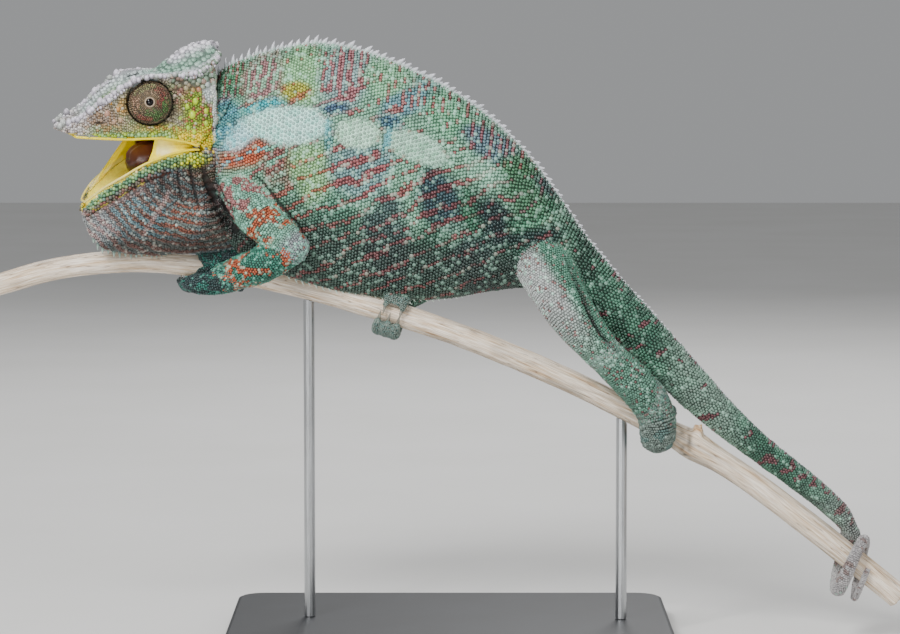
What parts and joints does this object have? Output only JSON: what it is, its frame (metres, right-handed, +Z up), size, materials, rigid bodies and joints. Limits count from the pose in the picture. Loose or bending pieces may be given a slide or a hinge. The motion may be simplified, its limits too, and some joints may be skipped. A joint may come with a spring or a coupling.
{
  "type": "panther chameleon model on a perch",
  "caption": "Life-size still model of a male panther chameleon, mouth open, gripping a cut branch on a display stand.",
  "frame": {"origin": "on the floor under the middle of the model's box, stand base included", "axes": "+Z up, the animal faces -X, its left side faces -Y"},
  "size_m": [0.332, 0.116, 0.2182],
  "materials": {
    "skin": "dry scaly skin, satin",
    "eye": "wet gloss",
    "mouth_lining": "moist membrane",
    "tongue": "moist",
    "horn": "horn claws",
    "perch_wood": "bleached, barkless",
    "stand_base": "satin powder coat",
    "stand_steel": "brushed"
  },
  "bodies": {
    "root": {"eye_turret_left": "skin", "eye_turret_right": "skin", "eyeball_left": "eye", "eyeball_right": "eye", "foot_left_lower": "skin", "foot_left_upper": "skin", "foot_right_lower": "skin", "foot_right_upper": "skin", "forearm_left": "skin", "forearm_right": "skin", "hand_left_lower": "skin", "hand_left_upper": "skin", "hand_right_lower": "skin", "hand_right_upper": "skin", "head": "skin", "lower_jaw": "skin", "mouth_lining": "mouth_lining", "neck": "skin", "perch_branch": "perch_wood", "shin_left": "skin", "shin_right": "skin", "stand_base": "stand_base", "stand_rod_back": "stand_steel", "stand_rod_front": "stand_steel", "tail_coil": "skin", "tail_end": "skin", "tail_middle": "skin", "tail_root": "skin", "thigh_left": "skin", "thigh_right": "skin", "throat": "skin", "tongue": "tongue", "trunk_front": "skin", "trunk_rear": "skin", "upper_arm_left": "skin", "upper_arm_right": "skin"}
  },
  "joints": []
}
